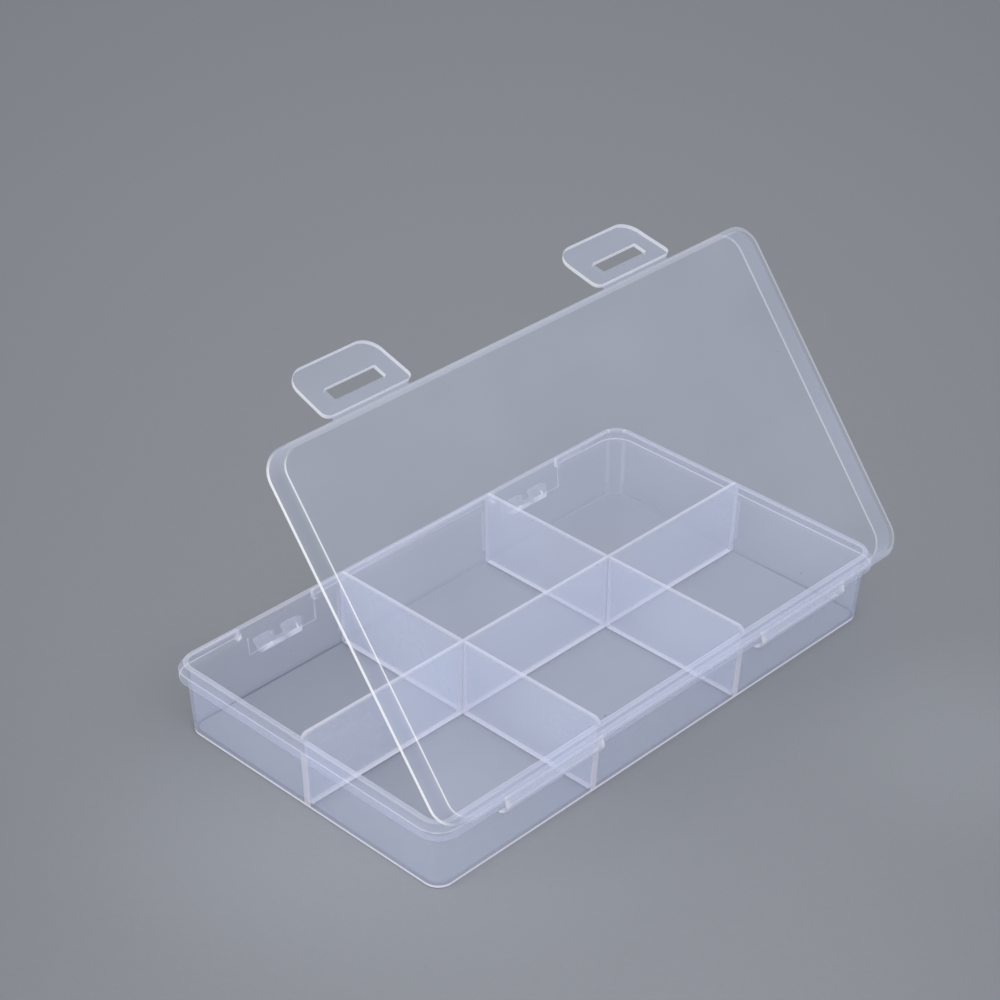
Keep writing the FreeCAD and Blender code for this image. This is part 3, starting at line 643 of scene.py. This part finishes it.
def makeTab(sideName, middle, bend):
    look = tabLook
    bm = bmesh.new()
    bmesh.ops.create_grid(bm, x_segments=3, y_segments=3, size=1.5)
    columns = (-look["width"] / 2, -look["slotLength"] / 2, look["slotLength"] / 2, look["width"] / 2)
    rows = (-look["end"], -look["slotFar"], -look["slotNear"], -look["root"])
    for v in bm.verts:
        v.co = (columns[round(v.co.x + 1.5)], rows[round(v.co.y + 1.5)], look["low"])
    slotMiddle = Vector((0, -(look["slotNear"] + look["slotFar"]) / 2, look["low"]))
    slot = min(bm.faces, key=lambda f: (f.calc_center_median() - slotMiddle).length)
    bmesh.ops.delete(bm, geom=[slot], context="FACES")
    for far, radius, steps in ((True, look["corner"], 9), (False, look["rootCorner"], 6)):
        tips = [v for v in bm.verts if abs(abs(v.co.x) - look["width"] / 2) < 0.01
                and abs(v.co.y + (look["end"] if far else look["root"])) < 0.01]
        bmesh.ops.bevel(bm, geom=tips, offset=radius, offset_type="OFFSET", segments=steps, profile=0.5,
                        affect="VERTICES", material=-1, clamp_overlap=True)
    for level in look["curlCuts"]:
        cutFaces(bm, bm.faces[:], (0, level, 0), (0, 1, 0))
    bmesh.ops.recalc_face_normals(bm, faces=bm.faces[:])
    pull(bm, bm.faces[:], (0, 0, look["thick"]), keepStart=True)
    bmesh.ops.recalc_face_normals(bm, faces=bm.faces[:])
    uprights = [e for e in bm.edges if abs(e.verts[0].co.z - e.verts[1].co.z) > 1
                and abs(abs(middleOf(e).x) - look["slotLength"] / 2) < 0.01
                and -look["slotFar"] - 0.1 < middleOf(e).y < -look["slotNear"] + 0.1]
    roundEdges(bm, uprights, look["slotCorner"], 3)
    sharp = [e for e in bm.edges if len(e.link_faces) == 2 and e.calc_face_angle(0) > 1.2]
    roundEdges(bm, sharp, look["edgeRound"], 3)

    # painted highlight along the rounded edges, fainter inside the slot
    def paintedLightOf(spot):
        off = abs(spot.z - curled(spot) - look["low"] - look["thick"] / 2)
        if not look["thick"] / 2 - 0.2 < off < look["thick"] / 2 - 0.02:
            return 0.0
        inSlot = (abs(spot.x) < look["slotLength"] / 2 + 0.6
                  and -look["slotFar"] - 0.8 < spot.y < -look["slotNear"] + 0.7)
        if inSlot and spot.y > -look["slotFar"] + 0.2 and spot.x > -look["slotLength"] / 2 + 0.4:
            return look["slotGlow"]
        return look["glow"]

    def curled(spot):
        past = max(0.0, -spot.y - look["curlFrom"])
        return look["curl"] * past * past + look["dip"] * min(0.0, spot.y + look["root"])

    for v in bm.verts:
        v.co.z += curled(v.co)
        v.co.x *= 1 + look["taper"] * (v.co.y + look["root"]) / look["end"]
    piece = finishPiece(sideName + "_tab_moulding", bm, (tabPlastic,), paintedLightOf, tabPlace(middle, bend))
    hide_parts(sideName + "_latch_tab")
    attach(piece, sideName + "_latch")


for sideName, middle, bend in latches:
    makeTab(sideName, middle, bend)
print("tabs made")

# webs: the thin film between the lid's skirt and a tab, drawn bent to meet the tab
webLook = dict(width=25.6, lidEnd=-101.98, axis=-102.5, level=0.7, tabEnd=-0.52, thick=0.36, bendReach=0.2)


def makeWeb(sideName, middle, bend):
    look = webLook
    bm = bmesh.new()
    bmesh.ops.create_grid(bm, x_segments=16, y_segments=6, size=1.0)
    toTab = tabPlace(middle, bend)
    toLid = lidPlace @ Matrix.Translation((middle, 0, 0))
    rowsOf = {}
    for v in bm.verts:
        rowsOf.setdefault(round(v.co.y, 3), []).append(v)
    for step, row in enumerate(sorted(rowsOf, reverse=True)):
        share = step / 3
        for v in rowsOf[row]:
            across = v.co.x * look["width"] / 2
            if step <= 3:
                outward = look["lidEnd"] + (look["axis"] - look["lidEnd"]) * share
                v.co = toLid @ Vector((across, outward, look["level"]))
            else:
                v.co = toTab @ Vector((across, look["tabEnd"] * (share - 1), 0.0))
    bmesh.ops.recalc_face_normals(bm, faces=bm.faces[:])
    bmesh.ops.solidify(bm, geom=bm.faces[:], thickness=look["thick"])
    name = sideName + "_web_film"
    piece = finishPiece(name, bm, (filmPlastic,), lambda spot: 0.0)
    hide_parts(sideName + "_latch_web")
    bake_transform(piece)


for sideName, middle, bend in latches:
    makeWeb(sideName, middle, bend)
print("webs made")

# hinge straps: a looped film from the band round to the lid's skirt
strapLook = dict(middles=(("left", -48.7), ("right", 49.4)), width=35.4, reach=2.9, root=1.8, thick=0.4,
                 rise=2.81, drift=-0.77, riseSteps=8, bendFrom=(-0.1, -0.6), bendTo=(0.1, 1.2),
                 edgeGlow=0.5, faceGlow=0.12)


def makeStrap(sideName, middle):
    look = strapLook
    axisY = lidLook["axisY"]
    axisZ = lidLook["axisZ"]
    bm = bmesh.new()
    half = look["width"] / 2
    first = bm.verts.new((middle - half, axisY - look["root"], axisZ - look["reach"]))
    last = bm.verts.new((middle + half, axisY - look["root"], axisZ - look["reach"]))
    line = bm.edges.new((first, last))
    bmesh.ops.subdivide_edges(bm, edges=[line], cuts=17)
    made = bmesh.ops.spin(bm, geom=bm.verts[:] + bm.edges[:], cent=(0, axisY - look["root"], axisZ),
                          axis=(1, 0, 0), angle=pi / 2, steps=10, use_merge=False)
    edges = [item for item in made["geom_last"] if isinstance(item, bmesh.types.BMEdge)]
    move = Vector((0, look["drift"], look["rise"])) / look["riseSteps"]
    for step in range(look["riseSteps"]):
        grown = bmesh.ops.extrude_edge_only(bm, edges=edges)["geom"]
        verts = [item for item in grown if isinstance(item, bmesh.types.BMVert)]
        edges = [item for item in grown if isinstance(item, bmesh.types.BMEdge)
                 and all(v in verts for v in item.verts)]
        bmesh.ops.translate(bm, vec=move, verts=verts)
    bmesh.ops.recalc_face_normals(bm, faces=bm.faces[:])
    bmesh.ops.solidify(bm, geom=bm.faces[:], thickness=look["thick"])

    # painted highlight along the strap's edges, and a faint one on its faces
    def paintedLightOf(spot):
        return look["edgeGlow" if abs(abs(spot.x - middle) - half) < 0.01 else "faceGlow"]

    piece = finishPiece(sideName + "_hinge_strap", bm, (strapPlastic,), paintedLightOf)
    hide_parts(sideName + "_hinge_tray_leaf", sideName + "_hinge_lid_leaf")
    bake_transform(piece)


for sideName, middle in strapLook["middles"]:
    makeStrap(sideName, middle)
print("straps made")

# catches: two wedge-shaped bumps joined by a lower bar on the latch wall
catchLook = dict(length=15.2, low=10.6, barHigh=12.7, high=15.9, barOut=48.7, tipOut=50.8,
                 tipLow=12.5, tipHigh=13.7, bump=5.4, wall=46.9, lean=2.8,
                 edgeRound=0.75, glint=1.8, tipGlow=0.2, outline=0.11)


def latchWallAt(level):
    return -catchLook["wall"] - level * tan(radians(catchLook["lean"]))


def makeCatch(sideName, middle):
    look = catchLook
    bm = bmesh.new()
    verts = bmesh.ops.create_cube(bm, size=1.0)["verts"]
    for v in verts:
        v.co.x *= look["length"]
        v.co.z = look["barHigh"] if v.co.z > 0 else look["low"]
        v.co.y = -look["barOut"] if v.co.y < 0 else latchWallAt(v.co.z) - 0.01
    inner = look["length"] / 2 - look["bump"]
    for x in (-inner, inner):
        cutFaces(bm, bm.faces[:], (x, 0, 0), (1, 0, 0))
    ends = [f for f in bm.faces if abs(f.calc_center_median().x) > inner
            and (f.normal.z > 0.9 or f.normal.y < -0.9)]
    for v in pull(bm, ends, (0, 0, 0)):
        if v.co.y > -look["barOut"] + 0.1:
            v.co.z = look["high"]
            v.co.y = latchWallAt(look["high"]) - 0.01
        else:
            v.co.z = look["tipHigh"] if v.co.z > look["low"] + 0.1 else look["tipLow"]
            v.co.y = -look["tipOut"]
    bmesh.ops.recalc_face_normals(bm, faces=bm.faces[:])
    sharp = [e for e in bm.edges if len(e.link_faces) == 2 and e.calc_face_angle(0) > 0.3
             and min(v.co.y for v in e.verts) < -look["barOut"] + 0.4]
    roundEdges(bm, sharp, look["edgeRound"], 4)

    # painted glints at the bumps' lower ends, a painted highlight at the tips and a faint painted highlight
    # elsewhere
    def paintedLightOf(spot):
        atEnd = inner - 0.5 < spot.x < inner + 0.9 or spot.x < -look["length"] / 2 + 1.1
        if atEnd and spot.z < look["low"] + 0.45 and spot.y > -look["barOut"] - 0.4:
            return look["glint"]
        return look["tipGlow"] if spot.y < -look["tipOut"] + 0.4 else look["outline"]

    place = Matrix.Translation((middle, 0, 0))
    piece = finishPiece(sideName + "_catch_bumps", bm, (catchPlastic,), paintedLightOf, place)
    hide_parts(sideName + "_catch")
    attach(piece, "tray")


# panel line: a fine raised line on the latch wall round each catch, open at the top
panelLook = dict(left=-12.2, right=11.4, low=12.0, leftHigh=20.1, rightHigh=17.3, line=0.32, proud=0.1,
                 edgeRound=0.07, glow=0.3)


def makePanel(sideName, middle):
    look = panelLook
    bm = bmesh.new()
    bmesh.ops.create_grid(bm, x_segments=1, y_segments=1, size=1.0)
    for v in bm.verts:
        side = "right" if v.co.x > 0 else "left"
        level = look[side + "High"] if v.co.y > 0 else look["low"]
        v.co = (look[side], latchWallAt(level), level)
    bmesh.ops.inset_region(bm, faces=bm.faces[:], thickness=look["line"], use_even_offset=True,
                           use_boundary=True)
    plate = max(bm.faces, key=lambda f: f.calc_area())
    topStrip = max(bm.faces, key=lambda f: f.calc_center_median().z)
    bmesh.ops.delete(bm, geom=[plate, topStrip], context="FACES")
    bmesh.ops.translate(bm, vec=(0, 0.05, 0), verts=bm.verts[:])
    pull(bm, bm.faces[:], (0, -look["proud"] - 0.05, 0), keepStart=True)
    bmesh.ops.recalc_face_normals(bm, faces=bm.faces[:])
    outer = [e for e in bm.edges if all(v.co.y < latchWallAt(v.co.z) - 0.05 for v in e.verts)
             and e.calc_face_angle(0) > 1.0]
    roundEdges(bm, outer, look["edgeRound"], 2)
    place = Matrix.Translation((middle, 0, 0))
    # the whole panel line carries a painted highlight
    piece = finishPiece(sideName + "_panel_line", bm, (catchPlastic,), lambda spot: look["glow"], place)
    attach(piece, "tray")


for sideName, middle, bend in latches:
    makeCatch(sideName, middle)
    makePanel(sideName, middle)
print("catches made")

# floor: one plain grey sheet under the case, in metres; painted shade darkens its tone to the sides and far
# away
floorLook = dict(size=6.0, drop=0.0003, nearTone=(0.255, 0.266, 0.29), farTone=(0.178, 0.184, 0.2),
                 turn=136.6, fanStart=0.55, fanLeast=0.3, fanDark=5.5, fanMost=0.8,
                 farFrom=-0.1, farFull=0.3, farChange=-0.2, grain=700.0,
                 pools=(((-0.075, 0.042), 0.7, 0.065, -0.6), ((-0.03, -0.12), 1.0, 0.06, -0.35),
                        ((-0.012, 0.085), 1.0, 0.04, 0.22)))


def makeFloor():
    look = floorLook
    bm = bmesh.new()
    bmesh.ops.create_grid(bm, x_segments=2, y_segments=2, size=look["size"] / 2)
    mesh = bpy.data.meshes.new("studio_floor")
    bm.to_mesh(mesh)
    bm.free()
    material = bpy.data.materials.new("grey studio paper")
    material.use_nodes = True
    tree = material.node_tree
    tree.nodes.clear()
    place = addNode(tree, "ShaderNodeTexCoord").outputs["Object"]
    rotation = (0, 0, radians(look["turn"]))
    turned = addNode(tree, "ShaderNodeMapping", {"Vector": place, "Rotation": rotation}).outputs[0]
    axes = addNode(tree, "ShaderNodeSeparateXYZ", {0: turned}).outputs
    reach = sums(tree, "MAXIMUM", sums(tree, "ADD", axes[0], look["fanStart"]), look["fanLeast"])
    aside = sums(tree, "DIVIDE", axes[1], reach)
    aside = sums(tree, "MULTIPLY", sums(tree, "MULTIPLY", aside, aside), look["fanDark"])
    aside = sums(tree, "MINIMUM", aside, look["fanMost"])
    # painted pools of light and a painted shadow beside the case: middle, stretch, reach and change of tone
    share = aside
    for spot, stretch, edge, change in look["pools"]:
        away = addNode(tree, "ShaderNodeVectorMath", {0: turned, 1: (*spot, 0.0)}, operation="SUBTRACT")
        away = addNode(tree, "ShaderNodeVectorMath", {0: away.outputs[0], 1: (1.0, stretch, 0.0)},
                       operation="MULTIPLY")
        far = addNode(tree, "ShaderNodeVectorMath", {0: away.outputs[0]}, operation="LENGTH").outputs["Value"]
        fall = addNode(tree, "ShaderNodeMapRange", {
            "Value": far, "From Min": 0.0, "From Max": edge, "To Min": change, "To Max": 0.0},
            interpolation_type="SMOOTHSTEP")
        share = sums(tree, "ADD", share, fall.outputs["Result"])
    further = spread(tree, axes[0], look["farFrom"], look["farFull"], 0.0, look["farChange"])
    share = sums(tree, "ADD", share, further)
    paper = addNode(tree, "ShaderNodeTexNoise", {"Vector": place, "Scale": look["grain"], "Detail": 3.0})
    tone = mixColours(tree, share, (*look["nearTone"], 1.0), (*look["farTone"], 1.0))
    mottle = spread(tree, paper.outputs[0], *noiseSpan, 0.985, 1.015)
    tone = addNode(tree, "ShaderNodeVectorMath", {0: tone, 1: mottle}, operation="MULTIPLY").outputs[0]
    rough = spread(tree, paper.outputs[0], *noiseSpan, 0.8, 0.9)
    shader = addNode(tree, "ShaderNodeBsdfPrincipled", {
        "Base Color": tone, "Roughness": rough, "Specular IOR Level": 0.1})
    addNode(tree, "ShaderNodeOutputMaterial", {"Surface": shader.outputs[0]})
    mesh.materials.append(material)
    mesh.transform(Matrix.Translation((0, 0, -look["drop"])))
    sheet = bpy.data.objects.new("studio_floor", mesh)
    scene.collection.objects.link(sheet)


makeFloor()

# light: even soft sky, a large soft lamp above and a warmer strip from the picture's left, in metres
lightLook = dict(sky=(0.95, 0.97, 1.0), skyPower=0.6,
                 lamps=(("front_softbox", (0.5, 0.75, 0.95), 0.9, 0.9, 10.0, (1.0, 1.0, 1.0)),
                        ("left_strip", (0.95, -0.45, 0.5), 0.4, 0.9, 3.0, (1.0, 0.98, 0.96))))


def makeLight():
    look = lightLook
    world = bpy.data.worlds.new("soft studio")
    world.use_nodes = True
    backing = world.node_tree.nodes["Background"].inputs
    backing["Color"].default_value = (*look["sky"], 1.0)
    backing["Strength"].default_value = look["skyPower"]
    scene.world = world
    for name, spot, width, height, power, colour in look["lamps"]:
        lamp = bpy.data.lights.new(name, "AREA")
        lamp.shape = "RECTANGLE"
        lamp.size = width
        lamp.size_y = height
        lamp.energy = power
        lamp.color = colour
        holder = bpy.data.objects.new(name, lamp)
        holder.location = spot
        holder.rotation_mode = "QUATERNION"
        holder.rotation_quaternion = (-Vector(spot)).to_track_quat("-Z", "Y")
        scene.collection.objects.link(holder)


makeLight()

# camera: long lens from the rear right corner, in metres
cameraLook = dict(lens=93.58, azimuth=133.384, elevation=32.181, roll=1.015, distance=0.785721,
                  target=(-0.055874, -0.06734, 0.0))


def makeCamera():
    look = cameraLook
    turn = radians(look["azimuth"])
    rise = radians(look["elevation"])
    roll = radians(look["roll"])
    back = Vector((sin(turn) * cos(rise), -cos(turn) * cos(rise), sin(rise)))
    level = Vector((cos(turn), sin(turn), 0.0))
    lift = back.cross(level)
    right = level * cos(roll) + lift * sin(roll)
    up = lift * cos(roll) - level * sin(roll)
    camera = bpy.data.cameras.new("studio_camera")
    camera.lens = look["lens"]
    camera.sensor_width = 36.0
    camera.clip_start = 0.01
    camera.clip_end = 20.0
    holder = bpy.data.objects.new("studio_camera", camera)
    pose = Matrix((right, up, back)).transposed().to_4x4()
    pose.translation = Vector(look["target"]) + back * look["distance"]
    holder.matrix_world = pose
    scene.collection.objects.link(holder)
    scene.camera = holder


makeCamera()
scene.view_settings.view_transform = "Standard"
scene.cycles.transparent_max_bounces = 48
scene.cycles.max_bounces = 4
scene.cycles.diffuse_bounces = 2
print("stage, light and camera ready")
